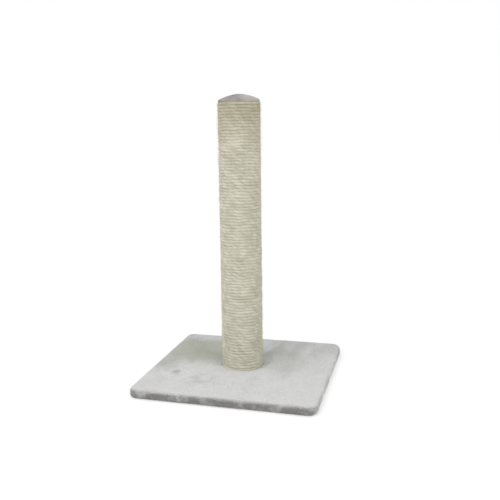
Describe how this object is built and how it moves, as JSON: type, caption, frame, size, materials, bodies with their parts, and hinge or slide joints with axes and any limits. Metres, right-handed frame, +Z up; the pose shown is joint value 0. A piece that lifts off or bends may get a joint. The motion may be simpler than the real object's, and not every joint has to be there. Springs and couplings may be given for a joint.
{
  "type": "cat scratching post",
  "caption": "Cat scratching post: a square plush-covered base carrying an upright tube wound with sisal rope under a low padded plush cap.",
  "frame": {"origin": "on the floor, at the centre of the square base and under the post's axis", "axes": "+Z up along the post; X and Y square to the sides of the base"},
  "size_m": [0.4, 0.4, 0.6295],
  "materials": {
    "base_plush": "soft light grey short-pile plush",
    "cap_plush": "soft grey short-pile plush, brushed down",
    "chipboard": "raw pressed chips",
    "plug_wood": "raw sawn softwood",
    "cardboard": "spirally wound brown board",
    "sisal": "three-strand laid sisal, fuzzy and dry",
    "wadding": "white polyester wadding",
    "zinc_steel": "bright zinc plate",
    "staple_steel": "galvanised wire"
  },
  "bodies": {
    "root": {"base_board": "chipboard", "base_plush": "base_plush", "base_hem_staples": "staple_steel", "post_tube": "cardboard", "bottom_plug": "plug_wood", "bottom_plug_brads": "zinc_steel", "top_plug": "plug_wood", "top_plug_brads": "zinc_steel", "post_t_nut": "zinc_steel", "post_bolt": "zinc_steel", "bolt_washer": "zinc_steel", "sisal_rope_1": "sisal", "sisal_rope_2": "sisal", "sisal_rope_3": "sisal", "sisal_rope_4": "sisal", "rope_end_nails": "zinc_steel", "cap_padding": "wadding", "cap_plush": "cap_plush", "cap_hem_staples": "staple_steel"}
  },
  "joints": []
}
